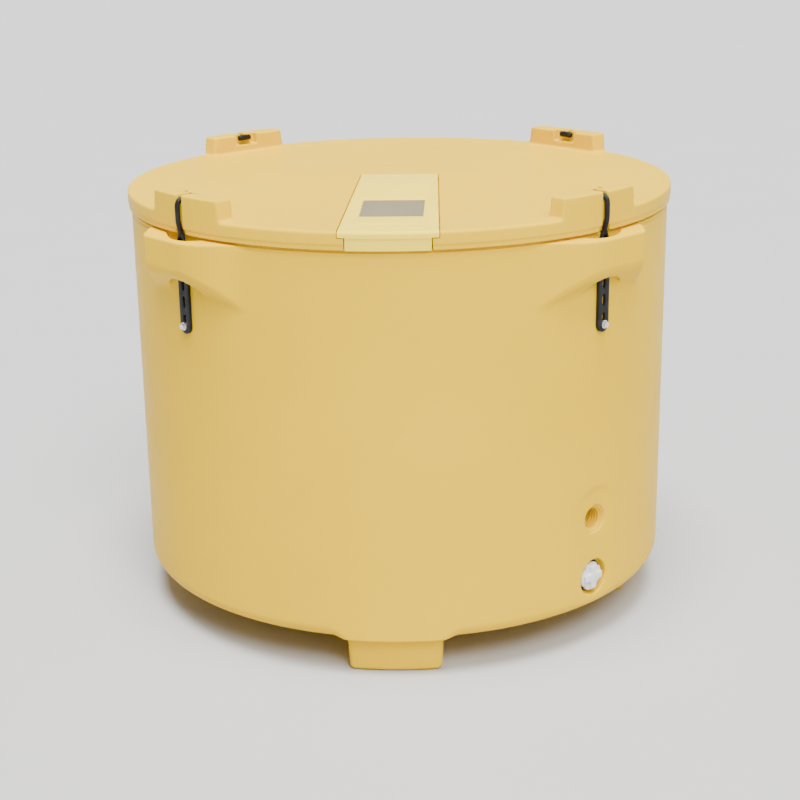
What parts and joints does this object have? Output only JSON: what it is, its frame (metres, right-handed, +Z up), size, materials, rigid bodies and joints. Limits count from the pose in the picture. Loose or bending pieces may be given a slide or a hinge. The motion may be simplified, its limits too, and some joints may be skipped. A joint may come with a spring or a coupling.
{
  "type": "insulated round tub with lid",
  "caption": "Round double-walled insulated tub with a lift-off lid, a lift-out hatch in it, rubber hold-down straps, a threaded port and a drain plug.",
  "frame": {"origin": "on the floor under the middle of the tub", "axes": "+Z up, -Y towards the front, where the hatch is; +X to the right"},
  "size_m": [1.2, 1.2, 0.977],
  "materials": {
    "yellow_polyethylene": "semi-gloss, slightly grained moulded polyethylene",
    "pale_polyethylene": "semi-gloss, paler moulded polyethylene",
    "insulating_foam": "closed-cell foam, matt",
    "seal_rubber": "matt sponge rubber",
    "black_rubber": "satin moulded rubber",
    "grey_plate": "satin grey plate",
    "white_plastic": "glossy white nylon",
    "steel": "bright stainless steel",
    "brass": "turned brass"
  },
  "bodies": {
    "tub": {"tub_shell": "yellow_polyethylene", "tub_base": "yellow_polyethylene", "port_pad": "yellow_polyethylene", "foot_front": "yellow_polyethylene", "foot_right": "yellow_polyethylene", "foot_back": "yellow_polyethylene", "foot_left": "yellow_polyethylene", "foot_centre": "yellow_polyethylene", "lug_1": "yellow_polyethylene", "lug_2": "yellow_polyethylene", "lug_3": "yellow_polyethylene", "lug_4": "yellow_polyethylene", "tub_liner": "yellow_polyethylene", "liner_panel": "yellow_polyethylene", "tub_rim": "yellow_polyethylene", "tub_floor": "yellow_polyethylene", "tub_foam": "insulating_foam", "rim_gasket": "seal_rubber", "foam_plug": "yellow_polyethylene", "port_bush": "yellow_polyethylene", "drain_bush": "yellow_polyethylene", "strap_ladder_1": "black_rubber", "strap_screw_1": "steel", "strap_washer_1": "steel", "strap_insert_1": "brass", "strap_ladder_2": "black_rubber", "strap_screw_2": "steel", "strap_washer_2": "steel", "strap_insert_2": "brass", "strap_ladder_3": "black_rubber", "strap_screw_3": "steel", "strap_washer_3": "steel", "strap_insert_3": "brass", "strap_ladder_4": "black_rubber", "strap_screw_4": "steel", "strap_washer_4": "steel", "strap_insert_4": "brass"},
    "strap_1": {"strap_cord_1": "black_rubber"},
    "strap_2": {"strap_cord_2": "black_rubber"},
    "strap_3": {"strap_cord_3": "black_rubber"},
    "strap_4": {"strap_cord_4": "black_rubber"},
    "plug": {"drain_plug": "white_plastic", "drain_gasket": "seal_rubber"},
    "lid": {"lid_shell": "yellow_polyethylene", "lid_under_skin": "yellow_polyethylene", "lid_rib": "yellow_polyethylene", "lid_foam": "insulating_foam"},
    "hatch": {"hatch_shell": "pale_polyethylene", "hatch_under_plate": "pale_polyethylene", "hatch_foam": "insulating_foam", "hatch_gasket": "seal_rubber", "id_plate": "grey_plate"}
  },
  "joints": [
    {"name": "lid_lift", "type": "slide", "parent": "tub", "child": "lid", "axis": [0, 0, 1], "range_m": [0, 0.15], "deforming": ["strap_cord_1", "strap_cord_2", "strap_cord_3", "strap_cord_4"]},
    {"name": "hatch_lift", "type": "slide", "parent": "lid", "child": "hatch", "axis": [0, 0, 1], "range_m": [0, 0.12]},
    {"name": "strap_release_1", "type": "hinge", "parent": "tub", "child": "strap_1", "pos_m": [0.4225, -0.4225, 0.893], "axis": [0.7071, 0.7071, 0], "range_deg": [0, 100]},
    {"name": "strap_release_2", "type": "hinge", "parent": "tub", "child": "strap_2", "pos_m": [0.4225, 0.4225, 0.893], "axis": [-0.7071, 0.7071, 0], "range_deg": [0, 100]},
    {"name": "strap_release_3", "type": "hinge", "parent": "tub", "child": "strap_3", "pos_m": [-0.4225, 0.4225, 0.893], "axis": [-0.7071, -0.7071, 0], "range_deg": [0, 100]},
    {"name": "strap_release_4", "type": "hinge", "parent": "tub", "child": "strap_4", "pos_m": [-0.4225, -0.4225, 0.893], "axis": [0.7071, -0.7071, 0], "range_deg": [0, 100]},
    {"name": "plug_out", "type": "slide", "parent": "tub", "child": "plug", "axis": [0.7071, -0.7071, 0], "range_m": [0, 0.045]}
  ]
}
